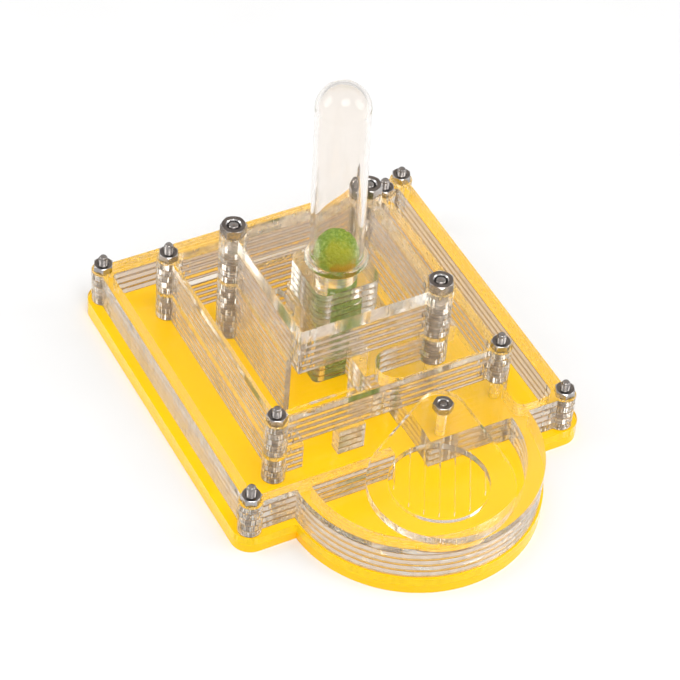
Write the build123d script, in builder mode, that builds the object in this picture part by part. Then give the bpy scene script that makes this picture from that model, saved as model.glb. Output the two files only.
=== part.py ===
"""Formicarium: a stepped ant habitat laser-cut from clear sheet.

Three square tiers stand one on another on a two-layer base, and a round
feeding arena with a swinging door stands out in front.  Screws run up from
below through every sheet and are closed by nuts on top of each tier.  An
upturned test tube with a foam wick waters the nest through the top slab.

Frame: millimetres, +Z up, +X to the right seen from the arena side, -Y
towards the arena.  Origin: centre of the square of tier 1 screws, on the
underside of the base plate.
"""
from build123d import *
import math
import os

os.makedirs("parts", exist_ok=True)

# ---------------------------------------------------------------- dimensions
BASE_T = 3.0           # pitch of the two sheets of the base
SHEET = 2.4            # pitch of one clear sheet above the base
GAP = 0.05             # air film between stacked sheets
SLAB = 5.0             # thickness of the top slab

# heights of the undersides
Z_PLATE = 0.0          # yellow base plate
Z_BASE = 3.0           # clear base sheet
Z_NEST = 6.0           # first of four nest sheets, tier 1
Z_COVER = 15.6         # tier 1 cover
Z_RING2 = 18.0         # first of four rings, tier 2
Z_LID2 = 27.6          # tier 2 lid
Z_RING3 = 30.0         # first of five rings, tier 3
Z_SLAB = 42.0          # tier 3 slab
Z_TOP = Z_SLAB + SLAB  # seat of the test tube

# screw squares (half of the spacing)
B1 = 50.95
B2 = 36.32
B3 = 22.31
TIER1 = [(-B1, -B1), (-B1, B1), (B1, -B1), (B1, B1)]
TIER2 = [(-B2, -B2), (-B2, B2), (B2, -B2), (B2, B2)]
TIER3 = [(-B3, B3), (B3, -B3), (B3, B3)]      # the front left corner has none

M3_R, M3_HOLE = 1.47, 1.60
M3_HEAD_R, M3_HEAD_H = 2.75, 1.65
M3_AF, M3_NUT_H = 5.5, 2.4
M4_R, M4_HOLE = 1.97, 2.10
M4_HEAD_R, M4_HEAD_H = 3.75, 2.20
M4_AF, M4_NUT_H = 7.0, 3.2
EAR3, EAR4 = 3.55, 4.15     # radii of the round ears around the screws

# walls (distance of a face from the axis of the stack)
W1_OUT, W1_IN = 52.60, 48.95
W2_OUT, W2_IN = 36.55, 34.75
W3_OUT, W3_IN = 22.65, 20.85
L1_IN = 36.75               # tier 1 corridors end on this inner line
BLOCK = 10.2                # half side of the feeder block in tier 3
BLOCK_CORNER = 3.2
CORE_X0, CORE_Y0 = -9.0, -8.65    # front left corner of the solid core around the wick, tiers 1 and 2
CORE_CORNER = 2.0
WICK_HOLE = 6.60
HALL_FRONT = -24.65         # the tier 1 cover is open behind this line
PART_X0, PART_X1 = -15.60, -7.10    # loose partition in the nest entrance
PART_DEPTH = 4.05
WICK_R = 6.25

# base outline
BASE_LEFT, BASE_RIGHT, BASE_FRONT, BASE_BACK, BASE_CORNER = 55.70, 57.10, 55.10, 56.65, 6.0
# arena
AX, AY = 0.25, -52.55
ARENA_BASE_R, ARENA_OUT, ARENA_IN = 38.30, 37.7, 32.7
ARENA_BACK = -51.90         # flat back wall of the arena
HATCH_X, HATCH_Y, HATCH_R = 0.25, -67.25, 14.6

# door
PX, PY = 13.75, -44.15      # pivot
DOOR_X, DOOR_Y, DOOR_R = -0.05, -68.75, 21.3
DOOR_EAR = 7.2
DOOR_T = 2.9
DOOR_Z = Z_RING2 + 0.05
PIVOT_RUN = 0.05            # radial running clearance on the pivot screw

# test tube
TUBE_R, TUBE_WALL = 8.0, 1.2
RIM_R, RIM_H = 9.4, 2.6
TUBE_LEN = 65.0
WICK_TOP = 57.6


# -------------------------------------------------- pieces of sheet outlines
def cut(x0, y0, x1, y1, mode=Mode.SUBTRACT):
    with Locations(((x0 + x1) / 2, (y0 + y1) / 2)):
        Rectangle(x1 - x0, y1 - y0, mode=mode)


def discs(points, r, mode=Mode.ADD):
    with Locations(*points):
        Circle(r, mode=mode)


def screw_holes(t1=True, t2=True, t3=True):
    if t1:
        discs(TIER1, M3_HOLE, Mode.SUBTRACT)
        discs([(PX, PY)], M3_HOLE, Mode.SUBTRACT)
    if t2:
        discs(TIER2, M3_HOLE, Mode.SUBTRACT)
    if t3:
        discs(TIER3, M4_HOLE, Mode.SUBTRACT)


def base_outline():
    with Locations(((BASE_RIGHT - BASE_LEFT) / 2, (BASE_BACK - BASE_FRONT) / 2)):
        RectangleRounded(BASE_LEFT + BASE_RIGHT, BASE_FRONT + BASE_BACK, BASE_CORNER)
    discs([(AX, AY)], ARENA_BASE_R)


def tier1_outline(arena=False):
    discs([(AX, AY)], ARENA_OUT)
    Rectangle(2 * W1_OUT, 2 * W1_OUT)
    if arena:   # half round floor space in front of a flat back wall
        discs([(AX, AY)], ARENA_IN, Mode.SUBTRACT)
        cut(-W1_OUT, ARENA_BACK, W1_OUT, 0, Mode.ADD)
    discs(TIER1, EAR3)


def wells(front_y):
    cut(-W2_IN, front_y, -W3_OUT, W2_IN)         # left corridor
    cut(-W2_IN, -W2_IN, -27.15, 0)
    cut(-W2_IN, front_y, -4.95, -15.0)           # front left
    cut(-W3_IN, -W3_IN, 1.20, CORE_Y0)           # in front of the core
    cut(-W3_IN, front_y, CORE_X0, W3_IN)         # left of the core
    cut(CORE_X0, CORE_Y0, CORE_X0 + CORE_CORNER, CORE_Y0 + CORE_CORNER)
    discs([(CORE_X0 + CORE_CORNER, CORE_Y0 + CORE_CORNER)], CORE_CORNER)   # its rounded corner
    cut(-W3_IN, 12.0, 8.0, W3_IN)                # behind the core
    cut(-W2_IN, W3_OUT, W2_IN, W2_IN)            # back corridor


def nest_cuts():
    cut(-W1_IN, -W1_IN, -L1_IN, W1_IN)           # left corridor
    cut(-W1_IN, -W1_IN, 6.10, -L1_IN)            # front corridor
    cut(-W1_IN, L1_IN, W1_IN, W1_IN)             # back corridor
    cut(L1_IN, -W1_IN + 3.0, W1_IN, W1_IN)       # right corridor, rounded at its front end
    cut(L1_IN + 3.0, -W1_IN, W1_IN - 3.0, 0)
    discs([(L1_IN + 3.0, -W1_IN + 3.0), (W1_IN - 3.0, -W1_IN + 3.0)], 3.0, Mode.SUBTRACT)
    cut(-5.65, ARENA_BACK - 0.5, 5.90, -W1_IN + 0.5)   # way into the arena
    cut(-27.15, -L1_IN - 0.5, 6.00, -W2_IN + 0.5)      # way into the nest
    cut(-W2_IN, -W2_IN, 6.00, HALL_FRONT)
    wells(-W2_IN)
    cut(W3_OUT, -14.0, W2_IN, W2_IN)             # right nest chamber


def inner_ears():
    discs(TIER1, EAR3)
    discs(TIER2, EAR3)
    discs(TIER3, EAR4)


# ---------------------------------------------------------------------- base
with BuildPart() as base_plate:
    with BuildSketch(Plane.XY.offset(Z_PLATE)):
        base_outline()
    extrude(amount=BASE_T - GAP)
    # countersunk from the underside, so that the base stands flat
    with Locations(*[Plane(origin=(x, y, 0), x_dir=(1, 0, 0), z_dir=(0, 0, -1))
                     for x, y in TIER1 + TIER2 + [(PX, PY)]]):
        CounterSinkHole(M3_HOLE, M3_HEAD_R + 0.40, depth=BASE_T, counter_sink_angle=90)
    with Locations(*[Plane(origin=(x, y, 0), x_dir=(1, 0, 0), z_dir=(0, 0, -1)) for x, y in TIER3]):
        CounterSinkHole(M4_HOLE, M4_HEAD_R + 0.40, depth=BASE_T, counter_sink_angle=90)
base_plate.part.label = "base_plate"
export_step(base_plate.part, "parts/base_plate.step")

with BuildPart() as base_sheet:
    with BuildSketch(Plane.XY.offset(Z_BASE)):
        base_outline()
        screw_holes()
    extrude(amount=BASE_T - GAP)
base_sheet.part.label = "base_sheet"
export_step(base_sheet.part, "parts/base_sheet.step")

# -------------------------------------------------------------------- tier 1
for i in range(4):
    with BuildPart() as nest_sheet:
        with BuildSketch(Plane.XY.offset(Z_NEST + i * SHEET)):
            tier1_outline(arena=True)
            nest_cuts()
            inner_ears()
            discs([(0, 0)], WICK_HOLE, Mode.SUBTRACT)
            screw_holes()
        extrude(amount=SHEET - GAP)
    nest_sheet.part.label = f"nest_sheet_{i + 1}"
    export_step(nest_sheet.part, f"parts/nest_sheet_{i + 1}.step")

    with BuildPart() as nest_partition:
        with BuildSketch(Plane.XY.offset(Z_NEST + i * SHEET)):
            cut(PART_X0, -L1_IN, PART_X1, -L1_IN + PART_DEPTH, Mode.ADD)
        extrude(amount=SHEET - GAP)
    nest_partition.part.label = f"nest_partition_{i + 1}"
    export_step(nest_partition.part, f"parts/nest_partition_{i + 1}.step")

with BuildPart() as tier1_cover:
    with BuildSketch(Plane.XY.offset(Z_COVER)):
        tier1_outline()
        wells(HALL_FRONT)
        cut(W3_OUT, -14.0, W2_IN, W2_IN)
        discs([(HATCH_X, HATCH_Y)], HATCH_R, Mode.SUBTRACT)
        inner_ears()
        discs([(0, 0)], WICK_HOLE, Mode.SUBTRACT)
        screw_holes()
    extrude(amount=SHEET - GAP)
tier1_cover.part.label = "tier1_cover"
export_step(tier1_cover.part, "parts/tier1_cover.step")

# -------------------------------------------------------------------- tier 2
for i in range(4):
    with BuildPart() as tier2_ring:
        with BuildSketch(Plane.XY.offset(Z_RING2 + i * SHEET)):
            Rectangle(2 * W2_OUT, 2 * W2_OUT)
            wells(-W2_IN)
            cut(W3_OUT, -W2_IN, W2_IN, W2_IN)                       # right corridor
            cut(6.05, -W2_IN, W2_IN, -W3_OUT)                       # front right chamber
            discs([(6.05, -(W2_IN + W3_OUT) / 2)], (W2_IN - W3_OUT) / 2, Mode.SUBTRACT)
            cut(13.0, -12.0, W3_IN, W3_IN)                          # right of the core
            discs(TIER2, EAR3)
            discs(TIER3, EAR4)
            discs([(0, 0)], WICK_HOLE, Mode.SUBTRACT)
            screw_holes(t1=False)
        extrude(amount=SHEET - GAP)
    tier2_ring.part.label = f"tier2_ring_{i + 1}"
    export_step(tier2_ring.part, f"parts/tier2_ring_{i + 1}.step")

with BuildPart() as tier2_lid:
    with BuildSketch(Plane.XY.offset(Z_LID2)):
        Rectangle(2 * W2_OUT, 2 * W2_OUT)
        discs(TIER2, EAR3)
        discs([(0, 0)], WICK_HOLE, Mode.SUBTRACT)
        with Locations((-15.4, 4.0)):
            SlotOverall(12.0, 6.0, rotation=90, mode=Mode.SUBTRACT)   # way up to tier 3
        screw_holes(t1=False)
    extrude(amount=SHEET - GAP)
tier2_lid.part.label = "tier2_lid"
export_step(tier2_lid.part, "parts/tier2_lid.step")

# -------------------------------------------------------------------- tier 3
for i in range(5):
    with BuildPart() as tier3_ring:
        with BuildSketch(Plane.XY.offset(Z_RING3 + i * SHEET)):
            Rectangle(2 * W3_OUT, 2 * W3_OUT)
            Rectangle(2 * W3_IN, 2 * W3_IN, mode=Mode.SUBTRACT)
            discs(TIER3, EAR4)
            discs(TIER3, M4_HOLE, Mode.SUBTRACT)
        extrude(amount=SHEET - GAP)
    tier3_ring.part.label = f"tier3_ring_{i + 1}"
    export_step(tier3_ring.part, f"parts/tier3_ring_{i + 1}.step")

    with BuildPart() as feeder_block:
        with BuildSketch(Plane.XY.offset(Z_RING3 + i * SHEET)):
            RectangleRounded(2 * BLOCK, 2 * BLOCK, BLOCK_CORNER)
            Circle(WICK_HOLE, mode=Mode.SUBTRACT)
        extrude(amount=SHEET - GAP)
    feeder_block.part.label = f"feeder_block_{i + 1}"
    export_step(feeder_block.part, f"parts/feeder_block_{i + 1}.step")

with BuildPart() as tier3_slab:
    with BuildSketch(Plane.XY.offset(Z_SLAB)):
        Rectangle(2 * W3_OUT, 2 * W3_OUT)
        discs(TIER3, EAR4)
        Circle(WICK_HOLE, mode=Mode.SUBTRACT)
        discs(TIER3, M4_HOLE, Mode.SUBTRACT)
    extrude(amount=SLAB - GAP)
tier3_slab.part.label = "tier3_slab"
export_step(tier3_slab.part, "parts/tier3_slab.step")

# ---------------------------------------------------------------------- door
AXIS_DEG = math.degrees(math.atan2(PY - DOOR_Y, PX - DOOR_X))
VENT_R, VENT_PITCH, VENT_W = 13.6, 4.3, 0.3
with BuildPart() as arena_door:
    with BuildSketch(Plane.XY.offset(DOOR_Z)) as door_outline:
        with BuildLine() as rims:
            CenterArc((DOOR_X, DOOR_Y), DOOR_R, 0, 360)
            CenterArc((PX, PY), DOOR_EAR, 0, 360)
        make_hull(rims.edges())
        discs([(PX, PY)], M3_R + PIVOT_RUN, Mode.SUBTRACT)
        for k in range(-3, 4):
            off = k * VENT_PITCH
            length = 2 * math.sqrt(VENT_R ** 2 - off ** 2)
            a = math.radians(AXIS_DEG)
            with Locations((HATCH_X - off * math.sin(a), HATCH_Y + off * math.cos(a))):
                SlotOverall(length, VENT_W, rotation=AXIS_DEG, mode=Mode.SUBTRACT)
    extrude(amount=DOOR_T)
arena_door.part.label = "arena_door"
export_step(arena_door.part, "parts/arena_door.step")

# ----------------------------------------------------------------- test tube
# mouth down on the slab, leaning a little against its wick
LEAN = math.radians(1.35)
lean_axis = (-0.86 * math.sin(LEAN), 0.51 * math.sin(LEAN), math.cos(LEAN))
seat = (0, 0, Z_TOP + 0.05 + 0.22)
tube_plane = Plane(origin=seat, x_dir=(0.51, 0.86, 0),
                   z_dir=Vector(0.51, 0.86, 0).cross(Vector(*lean_axis)))
with BuildPart() as test_tube:
    with BuildSketch(tube_plane):
        ri = TUBE_R - TUBE_WALL
        with BuildLine():
            t1 = Polyline((ri, 0), (RIM_R, 0), (RIM_R, RIM_H), (TUBE_R, RIM_H + 1.6), (TUBE_R, TUBE_LEN - TUBE_R))
            t2 = CenterArc((0, TUBE_LEN - TUBE_R), TUBE_R, 0, 90)
            t3 = Line(t2 @ 1, (0, TUBE_LEN - TUBE_R + ri))
            t4 = CenterArc((0, TUBE_LEN - TUBE_R), ri, 0, 90)
            t5 = Line((ri, TUBE_LEN - TUBE_R), (ri, 0))
        make_face()
    revolve(axis=Axis(seat, lean_axis))
    fillet(test_tube.edges().filter_by(lambda e: e.radius > RIM_R - 0.01 if e.geom_type == GeomType.CIRCLE else False), 1.1)
    fillet(test_tube.edges().filter_by(lambda e: e.geom_type == GeomType.CIRCLE and abs(e.radius - TUBE_R) < 0.01
                                       and e.center().Z < Z_TOP + 10), 1.5)
test_tube.part.label = "test_tube"
export_step(test_tube.part, "parts/test_tube.step")

# ---------------------------------------------------------------------- wick
CROWN = 6.2                                    # domed top of the foam
CROWN_R = (WICK_R ** 2 + CROWN ** 2) / (2 * CROWN)
CROWN_A = math.degrees(math.acos(WICK_R / CROWN_R))
with BuildPart() as foam_wick:
    with BuildSketch(Plane.XZ):
        with BuildLine():
            w1 = Polyline((0, Z_NEST + 0.3), (WICK_R, Z_NEST + 0.3), (WICK_R, WICK_TOP - CROWN))
            w2 = CenterArc((0, WICK_TOP - CROWN_R), CROWN_R, CROWN_A, 90 - CROWN_A)
            Line(w2 @ 1, w1 @ 0)
        make_face()
    revolve(axis=Axis.Z)
foam_wick.part.label = "foam_wick"
export_step(foam_wick.part, "parts/foam_wick.step")


# ----------------------------------------------------------------- fasteners
def screw_profile(r, head_r, tip):
    # flat head with a 90 degree cone, shank and chamfered tip
    z_cone = 0.25 + head_r - r
    Polyline((0, 0.05), (head_r, 0.05), (head_r, 0.25), (r, z_cone),
             (r, tip - 0.35), (r - 0.35, tip), (0, tip), close=True)


def make_screws(name, points, r, head_r, tips):
    with BuildPart() as screws:
        for (x, y), tip in zip(points, tips):
            with BuildSketch(Plane(origin=(x, y, 0), x_dir=(1, 0, 0), z_dir=(0, -1, 0))):
                with BuildLine():
                    screw_profile(r, head_r, tip)
                make_face()
            revolve(axis=Axis((x, y, 0), (0, 0, 1)))
    screws.part.label = name
    export_step(screws.part, f"parts/{name}.step")
    return screws


def make_nuts(name, points, z, af, h, bore, turns):
    corner = af / math.sqrt(3)
    with BuildPart() as rounds:      # turned blanks that round off the corners
        with BuildSketch(Plane.XY.offset(z)):
            discs(points, corner - 0.02)
        extrude(amount=h)
        chamfer(rounds.edges().filter_by(GeomType.CIRCLE), length=0.28, length2=0.50)
    with BuildPart() as nuts:
        with BuildSketch(Plane.XY.offset(z)):
            for (x, y), turn in zip(points, turns):
                with Locations((x, y)):
                    RegularPolygon(af / 2, 6, major_radius=False, rotation=turn)
        extrude(amount=h)
        add(rounds.part, mode=Mode.INTERSECT)
        with BuildSketch(Plane.XY.offset(z)):
            discs(points, bore)
        extrude(amount=h, mode=Mode.SUBTRACT)
        mouths = nuts.edges().filter_by(lambda e: e.geom_type == GeomType.CIRCLE and abs(e.radius - bore) < 0.01
                                        and e.center().Z > z + h / 2)
        chamfer(mouths, length=0.17 * bore)          # countersunk mouth of the thread
    nuts.part.label = name
    export_step(nuts.part, f"parts/{name}.step")
    return nuts


TIP1, TIP2, TIP3 = Z_RING2 + 5.8, Z_RING3 + 5.4, Z_TOP + 3.1
TIP_P = DOOR_Z + DOOR_T + 0.05 + M3_NUT_H - 0.1
screws1 = make_screws("tier1_screws", TIER1, M3_R, M3_HEAD_R, (TIP1, TIP1 - 0.6, TIP1 - 0.8, TIP1 - 1.3))
screws2 = make_screws("tier2_screws", TIER2, M3_R, M3_HEAD_R, (TIP2 - 0.3, TIP2, TIP2 - 0.3, TIP2 - 0.3))
screws3 = make_screws("tier3_screws", TIER3, M4_R, M4_HEAD_R, (TIP3, TIP3, TIP3))
pivot = make_screws("pivot_screw", [(PX, PY)], M3_R, M3_HEAD_R, (TIP_P,))

SEAT = 0.02 - GAP           # nuts stand on the sheet below
nuts1 = make_nuts("tier1_nuts", TIER1, Z_RING2 + SEAT, M3_AF, M3_NUT_H, 1.50, (35, 4, 7, 5))
nuts2 = make_nuts("tier2_nuts", TIER2, Z_RING3 + SEAT, M3_AF, M3_NUT_H, 1.50, (36, 5, 36, 12))
nuts3 = make_nuts("tier3_nuts", TIER3, Z_TOP + SEAT, M4_AF, M4_NUT_H, 2.00, (36, 5, 21))
make_nuts("pivot_nut", [(PX, PY)], DOOR_Z + DOOR_T + 0.05, M3_AF, M3_NUT_H, 1.50, (35,))
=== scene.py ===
import bpy
import bmesh
import math
from mathutils import Vector, Matrix, noise


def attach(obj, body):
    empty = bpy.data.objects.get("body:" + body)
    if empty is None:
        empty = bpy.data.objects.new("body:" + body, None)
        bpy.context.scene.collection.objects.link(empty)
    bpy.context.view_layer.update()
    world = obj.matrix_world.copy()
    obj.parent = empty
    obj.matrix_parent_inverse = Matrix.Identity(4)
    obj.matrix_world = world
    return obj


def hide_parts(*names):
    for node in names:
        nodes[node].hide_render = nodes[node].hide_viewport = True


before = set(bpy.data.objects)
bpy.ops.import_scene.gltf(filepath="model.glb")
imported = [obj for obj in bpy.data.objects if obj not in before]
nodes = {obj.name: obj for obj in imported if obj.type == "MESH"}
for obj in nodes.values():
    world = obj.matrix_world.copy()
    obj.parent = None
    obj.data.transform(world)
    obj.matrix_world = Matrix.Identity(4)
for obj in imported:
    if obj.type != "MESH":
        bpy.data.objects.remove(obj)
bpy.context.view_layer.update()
scene = bpy.context.scene
MM = 0.001

# ------------------------------------------------------------------ camera
az, el, roll = math.radians(30.62), math.radians(44.99), math.radians(4.87)
back = Vector((-math.sin(az) * math.cos(el), -math.cos(az) * math.cos(el), math.sin(el)))
target = Vector((6.90, 5.58, 6.0)) * MM
fwd = -back
right = fwd.cross(Vector((0, 0, 1))).normalized()
up = right.cross(fwd)
R = right * math.cos(roll) + up * math.sin(roll)
U = -right * math.sin(roll) + up * math.cos(roll)
cam_data = bpy.data.cameras.new("camera")
cam = bpy.data.objects.new("camera", cam_data)
scene.collection.objects.link(cam)
cam_data.sensor_fit = "HORIZONTAL"
cam_data.sensor_width = 36.0
cam_data.lens = 2865.91 / 680.0 * 36.0
cam_data.clip_start = 0.05
cam_data.clip_end = 20.0
m = Matrix((R, U, back)).transposed().to_4x4()
m.translation = target + back * (865.33 * MM)
cam.matrix_world = m
scene.camera = cam

# ----------------------------------------------------------- light and world
scene.view_settings.view_transform = "Standard"
scene.view_settings.look = "None"
scene.view_settings.exposure = 0.0
scene.view_settings.gamma = 1.0
scene.cycles.max_bounces = 96          # light piped along a whole sheet bounces some thirty times
scene.cycles.diffuse_bounces = 6
scene.cycles.glossy_bounces = 96
scene.cycles.transmission_bounces = 64
scene.cycles.transparent_max_bounces = 64
scene.cycles.use_denoising = True
scene.cycles.caustics_reflective = True
scene.cycles.caustics_refractive = True
scene.cycles.blur_glossy = 0.3
scene.cycles.sample_clamp_indirect = 8.0


def node(nt, kind, **sets):
    n = nt.nodes.new(kind)
    for k, v in sets.items():
        if k.startswith("in_"):
            n.inputs[int(k[3:]) if k[3:].isdigit() else k[3:].replace("_", " ")].default_value = v
        else:
            setattr(n, k, v)
    return n


# pale wall all round, a little greyer overhead, and a warm grey card high up behind the object
world = bpy.data.worlds.new("studio")
scene.world = world
world.use_nodes = True
wt = world.node_tree
wt.nodes.clear()
w_out = node(wt, "ShaderNodeOutputWorld")
w_bg = node(wt, "ShaderNodeBackground")
w_bg.inputs["Strength"].default_value = 0.90
w_tc = node(wt, "ShaderNodeTexCoord")
w_sep = node(wt, "ShaderNodeSeparateXYZ")
wt.links.new(w_tc.outputs["Generated"], w_sep.inputs[0])
w_ramp = node(wt, "ShaderNodeValToRGB")
wt.links.new(w_sep.outputs["Z"], w_ramp.inputs[0])
cr = w_ramp.color_ramp
cr.elements[0].position = 0.0
cr.elements[0].color = (0.93, 0.93, 0.93, 1)
cr.elements[1].position = 1.0
cr.elements[1].color = (0.66, 0.66, 0.66, 1)
for pos, val in ((0.30, 0.93), (0.65, 0.84)):
    e = cr.elements.new(pos)
    e.color = (val, val, val, 1)
w_dot = node(wt, "ShaderNodeVectorMath", operation="DOT_PRODUCT")
w_dot.inputs[1].default_value = (0.360, 0.608, 0.707)
wt.links.new(w_tc.outputs["Generated"], w_dot.inputs[0])
w_card = node(wt, "ShaderNodeMapRange", interpolation_type="SMOOTHSTEP")
w_card.inputs["From Min"].default_value = 0.950
w_card.inputs["From Max"].default_value = 0.985
w_card.inputs["To Min"].default_value = 0.0
w_card.inputs["To Max"].default_value = 1.0
wt.links.new(w_dot.outputs["Value"], w_card.inputs["Value"])
w_mix = node(wt, "ShaderNodeMix", data_type="RGBA")
wt.links.new(w_card.outputs[0], w_mix.inputs["Factor"])
wt.links.new(w_ramp.outputs[0], w_mix.inputs[6])
w_mix.inputs[7].default_value = (0.80, 0.68, 0.59, 1)
wt.links.new(w_mix.outputs[2], w_bg.inputs["Color"])
wt.links.new(w_bg.outputs[0], w_out.inputs[0])


def area(name, loc, aim, size, power, size_y=None, color=(1, 1, 1)):
    d = bpy.data.lights.new(name, "AREA")
    d.energy = power
    d.color = color
    d.shape = "RECTANGLE"
    d.size = size
    d.size_y = size_y or size
    o = bpy.data.objects.new(name, d)
    scene.collection.objects.link(o)
    o.location = loc
    o.rotation_euler = (Vector(aim) - Vector(loc)).to_track_quat("-Z", "Y").to_euler()
    return o


area("softbox_left", (-0.62, 0.37, 0.42), (0, 0, 0.03), 0.40, 2.3, 0.5)
area("softbox_right", (0.60, -0.36, 0.42), (0, 0, 0.03), 0.40, 2.3, 0.5)
area("softbox_front", (-0.10, -0.42, 1.05), (0, 0, 0.03), 0.6, 7.0, 0.5)


# ----------------------------------------------------------------- materials
def new_mat(name):
    mat = bpy.data.materials.new(name)
    mat.use_nodes = True
    nt = mat.node_tree
    nt.nodes.clear()
    out = node(nt, "ShaderNodeOutputMaterial")
    p = node(nt, "ShaderNodeBsdfPrincipled")
    nt.links.new(p.outputs[0], out.inputs["Surface"])
    return mat, nt, p, out


def let_light_in(nt, p, out, face, edge_mask=None, edge=None):
    """Lamps and soft bounced light reach what is inside, each surface taking its share away."""
    L = nt.links.new
    lp = node(nt, "ShaderNodeLightPath")
    either = node(nt, "ShaderNodeMath", operation="MAXIMUM")
    L(lp.outputs["Is Shadow Ray"], either.inputs[0])
    L(lp.outputs["Is Diffuse Ray"], either.inputs[1])
    tr = node(nt, "ShaderNodeBsdfTransparent")
    tr.inputs[0].default_value = face
    if edge_mask is not None:
        m = node(nt, "ShaderNodeMix", data_type="RGBA")
        L(edge_mask, m.inputs["Factor"])
        m.inputs[6].default_value = face
        m.inputs[7].default_value = edge
        L(m.outputs[2], tr.inputs[0])
    mix = node(nt, "ShaderNodeMixShader")
    L(either.outputs[0], mix.inputs[0])
    L(p.outputs[0], mix.inputs[1])
    L(tr.outputs[0], mix.inputs[2])
    L(mix.outputs[0], out.inputs["Surface"])


def acrylic(name, tint=(1, 1, 1, 1), edge_glow_tint=(0.98, 0.93, 0.845, 1), seed=0.0, clear=0.93, edge_rough=(0.02, 0.09), lines=True):
    """Clear sheet: polished faces with faint wipe marks, laser-cut edges with fine upright ripples."""
    mat, nt, p, out = new_mat(name)
    L = nt.links.new
    p.inputs["IOR"].default_value = 1.49
    p.inputs["Specular Tint"].default_value = (0.08, 0.08, 0.08, 1)      # anti-glare studio light: level faces hardly mirror
    geo = node(nt, "ShaderNodeNewGeometry")
    sep = node(nt, "ShaderNodeSeparateXYZ")
    L(geo.outputs["True Normal"], sep.inputs[0])
    absz = node(nt, "ShaderNodeMath", operation="ABSOLUTE")
    L(sep.outputs["Z"], absz.inputs[0])
    edge = node(nt, "ShaderNodeMath", operation="LESS_THAN")
    edge.inputs[1].default_value = 0.5
    L(absz.outputs[0], edge.inputs[0])            # 1 on cut edges, 0 on faces
    tc = node(nt, "ShaderNodeTexCoord")
    # fine upright ripples left by the laser, which spread light sideways only
    mp = node(nt, "ShaderNodeMapping")
    mp.inputs["Scale"].default_value = (1.0, 1.0, 0.01)
    mp.inputs["Location"].default_value = (seed, seed * 0.7, 0)
    L(tc.outputs["Object"], mp.inputs["Vector"])
    rip = node(nt, "ShaderNodeTexNoise")
    rip.inputs["Scale"].default_value = 9000.0
    rip.inputs["Detail"].default_value = 1.0
    L(mp.outputs[0], rip.inputs["Vector"])
    # slow waviness of the cut, different on each sheet of a stack
    osep = node(nt, "ShaderNodeSeparateXYZ")
    L(tc.outputs["Object"], osep.inputs[0])
    sheet = node(nt, "ShaderNodeMath", operation="MULTIPLY_ADD")
    sheet.inputs[1].default_value = 1.0 / 0.0024
    sheet.inputs[2].default_value = -2.5 + 0.5 - 0.0104          # a half between two sheets
    L(osep.outputs["Z"], sheet.inputs[0])
    layer = node(nt, "ShaderNodeMath", operation="ROUND")
    L(sheet.outputs[0], layer.inputs[0])
    shift = node(nt, "ShaderNodeCombineXYZ")
    L(layer.outputs[0], shift.inputs["X"])
    moved = node(nt, "ShaderNodeVectorMath", operation="MULTIPLY_ADD")
    moved.inputs[1].default_value = (0.37, 0.0, 0.0)
    L(shift.outputs[0], moved.inputs[0])
    L(mp.outputs[0], moved.inputs[2])
    wav = node(nt, "ShaderNodeTexNoise")
    wav.inputs["Scale"].default_value = 420.0
    wav.inputs["Detail"].default_value = 2.0
    L(moved.outputs[0], wav.inputs["Vector"])
    # faint wipe marks and dust on the faces
    sc = node(nt, "ShaderNodeTexNoise")
    sc.inputs["Scale"].default_value = 260.0
    sc.inputs["Detail"].default_value = 6.0
    sc.inputs["Roughness"].default_value = 0.65
    L(tc.outputs["Object"], sc.inputs["Vector"])
    rough_face = node(nt, "ShaderNodeMapRange")
    rough_face.inputs["From Min"].default_value = 0.55
    rough_face.inputs["From Max"].default_value = 0.80
    rough_face.inputs["To Min"].default_value = 0.0
    rough_face.inputs["To Max"].default_value = 0.045
    L(sc.outputs["Fac"], rough_face.inputs["Value"])
    rough_edge = node(nt, "ShaderNodeMapRange")
    rough_edge.inputs["To Min"].default_value = edge_rough[0]
    rough_edge.inputs["To Max"].default_value = edge_rough[1]
    L(rip.outputs["Fac"], rough_edge.inputs["Value"])
    mixr = node(nt, "ShaderNodeMix", data_type="FLOAT")
    L(edge.outputs[0], mixr.inputs["Factor"])
    L(rough_face.outputs[0], mixr.inputs[2])
    L(rough_edge.outputs[0], mixr.inputs[3])
    L(mixr.outputs[0], p.inputs["Roughness"])
    # painted glow: the cut edges get a warm colour, edge_glow_tint, standing in for the yellow plate's light carried
    # up through the sheets
    mixc = node(nt, "ShaderNodeMix", data_type="RGBA")
    L(edge.outputs[0], mixc.inputs["Factor"])
    mixc.inputs[6].default_value = tint
    mixc.inputs[7].default_value = edge_glow_tint
    L(mixc.outputs[2], p.inputs["Base Color"])
    if lines:
        # darker brown line along both rims of each cut edge, where the sheets of a stack meet
        saw = node(nt, "ShaderNodeMath", operation="PINGPONG")
        saw.inputs[1].default_value = 0.5
        L(sheet.outputs[0], saw.inputs[0])
        rim = node(nt, "ShaderNodeMapRange", interpolation_type="SMOOTHSTEP")
        rim.inputs["From Min"].default_value = 0.395
        rim.inputs["From Max"].default_value = 0.44
        rim.inputs["To Min"].default_value = 0.0
        rim.inputs["To Max"].default_value = 1.0
        L(saw.outputs[0], rim.inputs["Value"])
        brown = node(nt, "ShaderNodeMix", data_type="RGBA")
        L(rim.outputs[0], brown.inputs["Factor"])
        brown.inputs[6].default_value = edge_glow_tint
        brown.inputs[7].default_value = (0.24, 0.145, 0.082, 1)
        L(brown.outputs[2], mixc.inputs[7])
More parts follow.
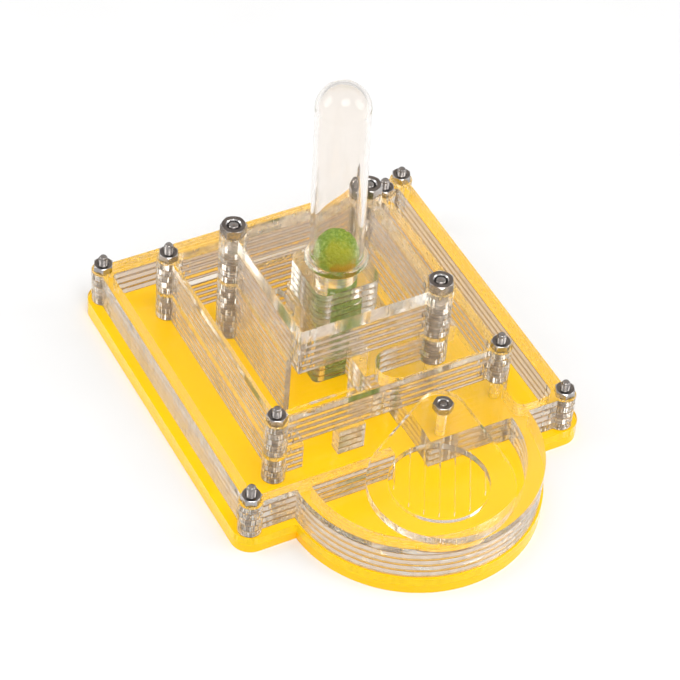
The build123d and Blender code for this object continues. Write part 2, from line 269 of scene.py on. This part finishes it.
    # tilt the normal of the cut edges along the sheet
    along = node(nt, "ShaderNodeVectorMath", operation="CROSS_PRODUCT")
    along.inputs[1].default_value = (0, 0, 1)
    L(geo.outputs["True Normal"], along.inputs[0])
    fine = node(nt, "ShaderNodeMath", operation="MULTIPLY_ADD")
    fine.inputs[1].default_value = 0.4
    fine.inputs[2].default_value = -0.20
    L(rip.outputs["Fac"], fine.inputs[0])
    slow = node(nt, "ShaderNodeMath", operation="MULTIPLY_ADD")
    slow.inputs[1].default_value = 0.14
    L(wav.outputs["Fac"], slow.inputs[0])
    L(fine.outputs[0], slow.inputs[2])
    tilt = node(nt, "ShaderNodeMath", operation="SUBTRACT")
    tilt.inputs[1].default_value = 0.07
    L(slow.outputs[0], tilt.inputs[0])
    # the small round ears on the diagonals are cut with more jitter, sheet by sheet
    brick = node(nt, "ShaderNodeTexNoise")
    brick.inputs["Scale"].default_value = 1500.0
    brick.inputs["Detail"].default_value = 0.0
    L(moved.outputs[0], brick.inputs["Vector"])
    absx = node(nt, "ShaderNodeMath", operation="ABSOLUTE")
    L(osep.outputs["X"], absx.inputs[0])
    absy = node(nt, "ShaderNodeMath", operation="ABSOLUTE")
    L(osep.outputs["Y"], absy.inputs[0])
    diag = node(nt, "ShaderNodeMath", operation="SUBTRACT")
    L(absx.outputs[0], diag.inputs[0])
    L(absy.outputs[0], diag.inputs[1])
    diag_abs = node(nt, "ShaderNodeMath", operation="ABSOLUTE")
    L(diag.outputs[0], diag_abs.inputs[0])
    ear = node(nt, "ShaderNodeMath", operation="LESS_THAN")
    ear.inputs[1].default_value = 0.0052
    L(diag_abs.outputs[0], ear.inputs[0])
    outer = node(nt, "ShaderNodeMath", operation="GREATER_THAN")         # not the block in the middle
    outer.inputs[1].default_value = 0.0175
    L(absx.outputs[0], outer.inputs[0])
    ears = node(nt, "ShaderNodeMath", operation="MULTIPLY")
    L(ear.outputs[0], ears.inputs[0])
    L(outer.outputs[0], ears.inputs[1])
    jit = node(nt, "ShaderNodeMath", operation="MULTIPLY_ADD")
    jit.inputs[1].default_value = 2.2
    jit.inputs[2].default_value = -1.1
    L(brick.outputs["Fac"], jit.inputs[0])
    jitter = node(nt, "ShaderNodeMath", operation="MULTIPLY_ADD")
    L(jit.outputs[0], jitter.inputs[0])
    L(ears.outputs[0], jitter.inputs[1])
    L(tilt.outputs[0], jitter.inputs[2])
    only = node(nt, "ShaderNodeMath", operation="MULTIPLY")
    L(jitter.outputs[0], only.inputs[0])
    L(edge.outputs[0], only.inputs[1])
    lean = node(nt, "ShaderNodeVectorMath", operation="SCALE")
    L(along.outputs[0], lean.inputs[0])
    L(only.outputs[0], lean.inputs["Scale"])
    summed = node(nt, "ShaderNodeVectorMath", operation="ADD")
    L(geo.outputs["Normal"], summed.inputs[0])
    L(lean.outputs[0], summed.inputs[1])
    unit = node(nt, "ShaderNodeVectorMath", operation="NORMALIZE")
    L(summed.outputs[0], unit.inputs[0])
    L(unit.outputs[0], p.inputs["Normal"])
    # the cut edges are a little milky, more so in streaks
    milk = node(nt, "ShaderNodeMapRange")
    milk.inputs["From Min"].default_value = 0.3
    milk.inputs["From Max"].default_value = 0.7
    milk.inputs["To Min"].default_value = clear - 0.06
    milk.inputs["To Max"].default_value = clear + 0.06
    L(wav.outputs["Fac"], milk.inputs["Value"])
    mixt = node(nt, "ShaderNodeMix", data_type="FLOAT")
    L(edge.outputs[0], mixt.inputs["Factor"])
    mixt.inputs[2].default_value = 1.0
    if lines:
        rim_less_clear = node(nt, "ShaderNodeMath", operation="MULTIPLY_ADD")
        rim_less_clear.inputs[1].default_value = -0.28
        L(rim.outputs[0], rim_less_clear.inputs[0])
        L(milk.outputs[0], rim_less_clear.inputs[2])
        L(rim_less_clear.outputs[0], mixt.inputs[3])
    else:
        L(milk.outputs[0], mixt.inputs[3])
    L(mixt.outputs[0], p.inputs["Transmission Weight"])
    let_light_in(nt, p, out, (0.985, 0.985, 0.985, 1), edge.outputs[0], (0.90, 0.88, 0.85, 1))
    return mat


mat_clear = acrylic("clear_acrylic_sheet")
# painted glow: the clear base sheet's cut edges get the yellow plate's colour and are mostly diffuse (clear=0.35),
# standing in for the plate's light carried into the sheet
mat_base = acrylic("clear_acrylic_base_painted_edge_glow", edge_glow_tint=(1.0, 0.71, 0.014, 1), seed=5.0, clear=0.35, lines=False)
mat_slab = acrylic("clear_acrylic_slab", seed=3.0, lines=False)
mat_door = acrylic("clear_acrylic_door", seed=7.0, lines=False)


def yellow():
    mat, nt, p, out = new_mat("yellow_acrylic_sheet")
    L = nt.links.new
    tc = node(nt, "ShaderNodeTexCoord")
    n1 = node(nt, "ShaderNodeTexNoise")
    n1.inputs["Scale"].default_value = 40.0
    n1.inputs["Detail"].default_value = 4.0
    L(tc.outputs["Object"], n1.inputs["Vector"])
    ramp = node(nt, "ShaderNodeValToRGB")
    ramp.color_ramp.elements[0].position = 0.3
    ramp.color_ramp.elements[0].color = (1.0, 0.552, 0.0003, 1)
    ramp.color_ramp.elements[1].position = 0.7
    ramp.color_ramp.elements[1].color = (1.0, 0.577, 0.0008, 1)
    L(n1.outputs["Fac"], ramp.inputs[0])
    L(ramp.outputs[0], p.inputs["Base Color"])
    n2 = node(nt, "ShaderNodeTexNoise")
    n2.inputs["Scale"].default_value = 900.0
    n2.inputs["Detail"].default_value = 3.0
    L(tc.outputs["Object"], n2.inputs["Vector"])
    mr = node(nt, "ShaderNodeMapRange")
    mr.inputs["To Min"].default_value = 0.05
    mr.inputs["To Max"].default_value = 0.14
    L(n2.outputs["Fac"], mr.inputs["Value"])
    L(mr.outputs[0], p.inputs["Roughness"])
    p.inputs["Specular IOR Level"].default_value = 0.25
    b = node(nt, "ShaderNodeBump")
    b.inputs["Strength"].default_value = 0.08
    b.inputs["Distance"].default_value = 0.00005
    L(n2.outputs["Fac"], b.inputs["Height"])
    L(b.outputs[0], p.inputs["Normal"])
    p.inputs["IOR"].default_value = 1.49
    return mat


def steel(name, base=(0.62, 0.61, 0.60, 1), lo=0.12, hi=0.32, top=1.0):
    mat, nt, p, out = new_mat(name)
    L = nt.links.new
    p.inputs["Metallic"].default_value = 1.0
    tc = node(nt, "ShaderNodeTexCoord")
    n1 = node(nt, "ShaderNodeTexNoise")
    n1.inputs["Scale"].default_value = 1400.0
    n1.inputs["Detail"].default_value = 5.0
    L(tc.outputs["Object"], n1.inputs["Vector"])
    mr = node(nt, "ShaderNodeMapRange")
    mr.inputs["To Min"].default_value = lo
    mr.inputs["To Max"].default_value = hi
    L(n1.outputs["Fac"], mr.inputs["Value"])
    L(mr.outputs[0], p.inputs["Roughness"])
    n2 = node(nt, "ShaderNodeTexNoise")
    n2.inputs["Scale"].default_value = 350.0
    n2.inputs["Detail"].default_value = 3.0
    L(tc.outputs["Object"], n2.inputs["Vector"])
    ramp = node(nt, "ShaderNodeValToRGB")
    ramp.color_ramp.elements[0].color = (base[0] * 0.72, base[1] * 0.72, base[2] * 0.73, 1)
    ramp.color_ramp.elements[1].color = base
    ramp.color_ramp.elements[0].position = 0.35
    ramp.color_ramp.elements[1].position = 0.60
    L(n2.outputs["Fac"], ramp.inputs[0])
    geo = node(nt, "ShaderNodeNewGeometry")
    sep = node(nt, "ShaderNodeSeparateXYZ")
    L(geo.outputs["True Normal"], sep.inputs[0])
    # painted shade: faces turned upward, the flat tops of the nuts, get their base colour multiplied by top, standing
    # in for the dark surroundings they mirror
    level = node(nt, "ShaderNodeMapRange")
    level.inputs["From Min"].default_value = 0.90
    level.inputs["From Max"].default_value = 0.98
    L(sep.outputs["Z"], level.inputs["Value"])
    painted_top_shade = node(nt, "ShaderNodeMix", data_type="RGBA", blend_type="MULTIPLY")
    L(level.outputs[0], painted_top_shade.inputs["Factor"])
    L(ramp.outputs[0], painted_top_shade.inputs[6])
    painted_top_shade.inputs[7].default_value = (top, top, top, 1)
    L(painted_top_shade.outputs[2], p.inputs["Base Color"])
    b = node(nt, "ShaderNodeBump")
    b.inputs["Strength"].default_value = 0.25
    b.inputs["Distance"].default_value = 0.00002
    L(n1.outputs["Fac"], b.inputs["Height"])
    L(b.outputs[0], p.inputs["Normal"])
    return mat


def tube_glass():
    mat, nt, p, out = new_mat("tube_clear_glass")
    L = nt.links.new
    p.inputs["IOR"].default_value = 1.49
    p.inputs["Specular Tint"].default_value = (0.25, 0.25, 0.25, 1)      # lamps show only weakly in the glass
    p.inputs["Transmission Weight"].default_value = 1.0
    tc = node(nt, "ShaderNodeTexCoord")
    n1 = node(nt, "ShaderNodeTexNoise")
    n1.inputs["Scale"].default_value = 160.0
    n1.inputs["Detail"].default_value = 5.0
    L(tc.outputs["Object"], n1.inputs["Vector"])
    mr = node(nt, "ShaderNodeMapRange")
    mr.inputs["From Min"].default_value = 0.45
    mr.inputs["From Max"].default_value = 0.8
    mr.inputs["To Min"].default_value = 0.0
    mr.inputs["To Max"].default_value = 0.06
    L(n1.outputs["Fac"], mr.inputs["Value"])
    L(mr.outputs[0], p.inputs["Roughness"])
    ramp = node(nt, "ShaderNodeValToRGB")
    ramp.color_ramp.elements[0].color = (0.955, 0.922, 0.885, 1)
    ramp.color_ramp.elements[1].color = (0.975, 0.945, 0.915, 1)
    L(n1.outputs["Fac"], ramp.inputs[0])
    L(ramp.outputs[0], p.inputs["Base Color"])
    let_light_in(nt, p, out, (0.95, 0.95, 0.95, 1))
    return mat


def foam():
    """Wet open-cell foam: green, yellower in front, with an ochre stain low in the mouth of the tube."""
    mat, nt, p, out = new_mat("green_foam")
    L = nt.links.new
    tc = node(nt, "ShaderNodeTexCoord")
    n1 = node(nt, "ShaderNodeTexNoise")
    n1.inputs["Scale"].default_value = 1300.0
    n1.inputs["Detail"].default_value = 5.0
    n1.inputs["Roughness"].default_value = 0.65
    L(tc.outputs["Object"], n1.inputs["Vector"])
    ramp = node(nt, "ShaderNodeValToRGB")
    c = ramp.color_ramp
    c.elements[0].position = 0.28
    c.elements[0].color = (0.085, 0.160, 0.020, 1)
    c.elements[1].position = 0.74
    c.elements[1].color = (0.42, 0.50, 0.14, 1)
    k = c.elements.new(0.5)
    k.color = (0.180, 0.290, 0.035, 1)
    L(n1.outputs["Fac"], ramp.inputs[0])
    n2 = node(nt, "ShaderNodeTexNoise")
    n2.inputs["Scale"].default_value = 330.0
    n2.inputs["Detail"].default_value = 2.0
    L(tc.outputs["Object"], n2.inputs["Vector"])
    shade = ramp.outputs[0]
    for centre, squash, radius, colour in (((-2.6, -5.4, 53.5), (1.15, 1.15, 0.75), 7.0, (0.36, 0.34, 0.020, 1)),
                                           ((-1.0, -6.4, 48.9), (0.9, 0.9, 1.0), 4.6, (0.44, 0.20, 0.012, 1)),
                                           ((-7.0, 1.0, 22.0), (1.0, 0.8, 0.20), 6.2, (0.52, 0.37, 0.17, 1))):
        gap = node(nt, "ShaderNodeVectorMath", operation="SUBTRACT")
        gap.inputs[1].default_value = tuple(v * MM for v in centre)
        L(tc.outputs["Object"], gap.inputs[0])
        flat = node(nt, "ShaderNodeVectorMath", operation="MULTIPLY")
        flat.inputs[1].default_value = squash
        L(gap.outputs[0], flat.inputs[0])
        away = node(nt, "ShaderNodeVectorMath", operation="LENGTH")
        L(flat.outputs[0], away.inputs[0])
        ragged = node(nt, "ShaderNodeMath", operation="MULTIPLY_ADD")
        ragged.inputs[1].default_value = 0.007
        L(n2.outputs["Fac"], ragged.inputs[0])
        L(away.outputs["Value"], ragged.inputs[2])
        stain = node(nt, "ShaderNodeMapRange", interpolation_type="SMOOTHSTEP")
        stain.inputs["From Min"].default_value = radius * MM * 0.45 + 0.0035
        stain.inputs["From Max"].default_value = radius * MM + 0.0035
        stain.inputs["To Min"].default_value = 0.68
        stain.inputs["To Max"].default_value = 0.0
        L(ragged.outputs[0], stain.inputs["Value"])
        mix = node(nt, "ShaderNodeMix", data_type="RGBA")
        L(stain.outputs[0], mix.inputs["Factor"])
        L(shade, mix.inputs[6])
        mix.inputs[7].default_value = colour
        shade = mix.outputs[2]
    L(shade, p.inputs["Base Color"])
    v = node(nt, "ShaderNodeTexVoronoi")
    v.inputs["Scale"].default_value = 1900.0
    L(tc.outputs["Object"], v.inputs["Vector"])
    b = node(nt, "ShaderNodeBump")
    b.inputs["Strength"].default_value = 0.9
    b.inputs["Distance"].default_value = 0.00025
    L(v.outputs["Distance"], b.inputs["Height"])
    L(b.outputs[0], p.inputs["Normal"])
    p.inputs["Roughness"].default_value = 0.9
    p.inputs["Specular IOR Level"].default_value = 0.2
    return mat


mat_yellow = yellow()
# top=0.42 paints shade on the nuts' flat tops
mat_steel = steel("steel_nut", base=(0.52, 0.50, 0.49, 1), lo=0.14, hi=0.30, top=0.42)
mat_screw = steel("steel_screw", base=(0.34, 0.31, 0.29, 1), lo=0.14, hi=0.30)
mat_tube = tube_glass()
mat_foam = foam()


def assign(obj, mat):
    obj.data.materials.clear()
    obj.data.materials.append(mat)
    for poly in obj.data.polygons:
        poly.material_index = 0


STACKED = ("nest_sheet_", "nest_partition_", "tier1_cover", "tier2_ring_", "tier2_lid", "tier3_ring_", "feeder_block_")
for n in nodes:
    if n.startswith(STACKED):
        assign(nodes[n], mat_clear)
assign(nodes["base_sheet"], mat_base)
assign(nodes["tier3_slab"], mat_slab)
assign(nodes["arena_door"], mat_door)
assign(nodes["base_plate"], mat_yellow)
for n in ("tier1_nuts", "tier2_nuts", "tier3_nuts", "pivot_nut"):
    assign(nodes[n], mat_steel)


# -------------------------------------------------------------------- screws
def make_mesh(name, verts, faces, mat, smooth=True):
    me = bpy.data.meshes.new(name)
    me.from_pydata(verts, [], faces)
    me.materials.append(mat)
    me.validate()
    if smooth:
        me.polygons.foreach_set("use_smooth", [True] * len(me.polygons))
    me.update()
    o = bpy.data.objects.new(name, me)
    scene.collection.objects.link(o)
    return o


def screw_mesh(centre, r, pitch, head_r, tip, verts, faces, seg=26):
    """Flat head, then a helical thread up to a chamfered tip. Appends to verts and faces, in metres."""
    cx, cy = centre
    depth = 0.55 * pitch
    rows = [(0.05, head_r), (0.25, head_r), (0.25 + head_r - r, r - depth)]
    z0 = 0.25 + head_r - r
    step = pitch / 6.0
    count = int((tip - 0.45 * r - z0) / step)
    base = len(verts)

    def ring(z, radius_of):
        for s in range(seg):
            a = 2 * math.pi * s / seg
            rr = radius_of(a, z)
            verts.append(((cx + rr * math.cos(a)) * MM, (cy + rr * math.sin(a)) * MM, z * MM))

    def thread(a, z):
        t = (z / pitch - a / (2 * math.pi)) % 1.0
        tri = 1 - abs(2 * t - 1)
        return r - depth * (1 - min(1.0, max(0.0, 1.35 * tri - 0.15)))

    for z, rr in rows:
        ring(z, lambda a, z, rr=rr: rr)
    for i in range(1, count + 1):
        ring(z0 + i * step, thread)
    zt = z0 + count * step
    for f in (0.35, 0.7, 1.0):
        zz = zt + (tip - zt) * f
        cap = r - (0.62 * r) * f * 0.55
        ring(zz, lambda a, z, cap=cap: min(cap, thread(a, z)))
    total = (len(verts) - base) // seg
    for i in range(total - 1):
        for s in range(seg):
            a, b = base + i * seg + s, base + i * seg + (s + 1) % seg
            faces.append((a, b, b + seg, a + seg))
    verts.append((cx * MM, cy * MM, 0.05 * MM))
    low = len(verts) - 1
    verts.append((cx * MM, cy * MM, (tip - 0.12) * MM))
    top = len(verts) - 1
    for s in range(seg):
        faces.append((low, base + (s + 1) % seg, base + s))
        t = base + (total - 1) * seg
        faces.append((top, t + s, t + (s + 1) % seg))


def screws(name, node_name, points, r, pitch, head_r, tips):
    v, f = [], []
    for c, tip in zip(points, tips):
        screw_mesh(c, r, pitch, head_r, tip, v, f)
    o = make_mesh(name, v, f, mat_screw)
    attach(o, "habitat")
    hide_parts(node_name)
    return o


S1, S2, S3 = 50.95, 36.32, 22.31
T1 = [(-S1, -S1), (-S1, S1), (S1, -S1), (S1, S1)]
T2 = [(-S2, -S2), (-S2, S2), (S2, -S2), (S2, S2)]
T3 = [(-S3, S3), (S3, -S3), (S3, S3)]
screws("tier1_screws_threaded", "tier1_screws", T1, 1.44, 0.5, 2.75, (23.8, 23.2, 23.0, 22.5))
screws("tier2_screws_threaded", "tier2_screws", T2, 1.44, 0.5, 2.75, (35.1, 35.4, 35.1, 35.1))
screws("tier3_screws_threaded", "tier3_screws", T3, 1.94, 0.7, 3.75, (50.1, 50.1, 50.1))
screws("pivot_screw_threaded", "pivot_screw", [(13.75, -44.15)], 1.44, 0.5, 2.75, (23.3,))

# ---------------------------------------------------------------------- foam
# pressed forward against the bores of the sheets, loose in the slab, and tight in the mouth of the tube
WZ0, WZ1, LOOSE_R, BORE_R, MOUTH_R, SEAT_Z = 6.3, 57.6, 6.25, 6.62, 6.83, 47.27
LEAN = math.radians(1.35)
t_axis = Vector((-0.86 * math.sin(LEAN), 0.51 * math.sin(LEAN), math.cos(LEAN))).normalized()


def foam_mesh():
    seg, verts, faces = 128, [], []
    prof = [(BORE_R * i / 8 if i else 0.02, WZ0) for i in range(9)]
    n = 120
    for i in range(1, n + 1):
        prof.append((BORE_R, WZ0 + (SEAT_Z - 0.25 - WZ0) * i / n))
    dome = WZ1 - MOUTH_R
    for i in range(0, 31):
        z = SEAT_Z + 0.05 + (dome - SEAT_Z - 0.05) * i / 30
        prof.append((MOUTH_R - 0.45 * max(0.0, 1.0 - (z - SEAT_Z) / 2.6), z))
    for i in range(1, 46):
        a = math.pi / 2 * i / 46
        prof.append((MOUTH_R * math.cos(a), dome + MOUTH_R * math.sin(a)))
    for r, z in prof:
        up_tube = max(0.0, z - SEAT_Z) / t_axis.z
        cx, cy = t_axis.x * up_tube, t_axis.y * up_tube
        for s in range(seg):
            a = 2 * math.pi * s / seg
            rr = r
            if abs(r - BORE_R) < 0.001:
                # how far the direction lies outside the front of the bore, and how near the slab is
                off = abs((math.degrees(a) + 66.0 + 180.0) % 360.0 - 180.0)
                press = max(0.0, min(1.0, (82.0 - off) / 12.0)) * max(0.0, min(1.0, (37.6 - z) / 0.8))
                rr = LOOSE_R + (BORE_R - LOOSE_R) * press
            p = Vector((rr * math.cos(a), rr * math.sin(a), z))
            pit = 0.0
            if z > dome - 0.5:            # the dome is free, so its cells stand open
                fade = min(1.0, (z - dome + 0.5) / 2.0)
                pit = fade * (0.14 + 0.30 * noise.noise(p * 1.1) + 0.16 * noise.noise(p * 2.7))
            f = 1.0 - max(0.0, pit) / MOUTH_R
            zz = z - (max(0.0, pit) if z > dome else 0.0)
            verts.append(((cx + p.x * f) * MM, (cy + p.y * f) * MM, zz * MM))
    rows = len(prof)
    for i in range(rows - 1):
        for s in range(seg):
            a, b = i * seg + s, i * seg + (s + 1) % seg
            faces.append((a, b, b + seg, a + seg))
    verts.append((0, 0, WZ0 * MM))
    faces += [(len(verts) - 1, (s + 1) % seg, s) for s in range(seg)]
    top = t_axis * ((WZ1 - SEAT_Z) / t_axis.z)
    verts.append((top.x * MM, top.y * MM, (WZ1 - 0.15) * MM))
    t = (rows - 1) * seg
    faces += [(len(verts) - 1, t + s, t + (s + 1) % seg) for s in range(seg)]
    return make_mesh("foam_wick_soft", verts, faces, mat_foam)


foam_obj = foam_mesh()
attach(foam_obj, "feeder")
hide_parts("foam_wick")

# ---------------------------------------------------------------------- tube
t_seat = Vector((0, 0, SEAT_Z))


def tube_mesh():
    R0, ri, L0, rim, rim_h = 8.0, 6.8, 65.0, 9.4, 2.6
    prof = [(ri, 0.6), (ri + 0.25, 0.15), (ri + 0.7, 0.0)]
    for i in range(0, 10):            # rolled rim
        a = -math.pi / 2 + math.pi * i / 9
        prof.append((rim - 1.25 + 1.25 * math.cos(a), 1.25 + 1.25 * math.sin(a)))
    prof += [(R0 + 0.16, 2.75), (R0 + 0.03, 3.3), (R0, 4.2)]
    for i in range(1, 24):
        prof.append((R0, 4.2 + (L0 - R0 - 4.2) * i / 24))
    for i in range(0, 28):
        a = math.pi / 2 * i / 28
        prof.append((R0 * math.cos(a), L0 - R0 + R0 * math.sin(a)))
    top_out = len(prof)
    inner = [(ri, 3.0 + (L0 - R0 - 3.0) * i / 24) for i in range(0, 24)]
    for i in range(0, 28):
        a = math.pi / 2 * i / 28
        inner.append((ri * math.cos(a), L0 - R0 + ri * math.sin(a)))
    x = Vector((0.51, 0.86, 0)).normalized()
    y = t_axis.cross(x)
    seg, verts, faces = 128, [], []

    def ring(r, z):
        for s in range(seg):
            a = 2 * math.pi * s / seg
            verts.append(tuple((t_seat + x * (r * math.cos(a)) + y * (r * math.sin(a)) + t_axis * z) * MM))

    for r, z in prof:
        ring(r, z)
    for r, z in inner:
        ring(r, z)
    n_out, n_in = len(prof), len(inner)

    def strip(i0, i1, flip=False):
        for s in range(seg):
            a, b = i0 * seg + s, i0 * seg + (s + 1) % seg
            c, d = i1 * seg + (s + 1) % seg, i1 * seg + s
            faces.append((d, c, b, a) if flip else (a, b, c, d))

    for i in range(n_out - 1):
        strip(i, i + 1)
    for i in range(n_in - 1):
        strip(n_out + i, n_out + i + 1, flip=True)
    strip(0, n_out, flip=True)
    verts.append(tuple((t_seat + t_axis * L0) * MM))
    k = len(verts) - 1
    t = (n_out - 1) * seg
    faces.extend((k, t + s, t + (s + 1) % seg) for s in range(seg))
    verts.append(tuple((t_seat + t_axis * (L0 - R0 + ri)) * MM))
    k = len(verts) - 1
    t = (n_out + n_in - 1) * seg
    faces.extend((k, t + (s + 1) % seg, t + s) for s in range(seg))
    return make_mesh("test_tube_blown", verts, faces, mat_tube)


tube_obj = tube_mesh()
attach(tube_obj, "feeder")
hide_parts("test_tube")


# --------------------------------------------------------------------- floor
def floor_mat():
    mat, nt, p, out = new_mat("pale_floor")
    L = nt.links.new
    tc = node(nt, "ShaderNodeTexCoord")
    n1 = node(nt, "ShaderNodeTexNoise")
    n1.inputs["Scale"].default_value = 30.0
    L(tc.outputs["Object"], n1.inputs["Vector"])
    ramp = node(nt, "ShaderNodeValToRGB")
    ramp.color_ramp.elements[0].color = (0.70, 0.70, 0.70, 1)
    ramp.color_ramp.elements[1].color = (0.73, 0.73, 0.73, 1)
    L(n1.outputs["Fac"], ramp.inputs[0])
    L(ramp.outputs[0], p.inputs["Base Color"])
    p.inputs["Roughness"].default_value = 0.8
    p.inputs["Specular IOR Level"].default_value = 0.1
    return mat


fm = floor_mat()
fv = [(-3, -3, -0.00003), (3, -3, -0.00003), (3, 3, -0.00003), (-3, 3, -0.00003)]
floor = make_mesh("floor", fv, [(0, 1, 2, 3)], fm, smooth=False)
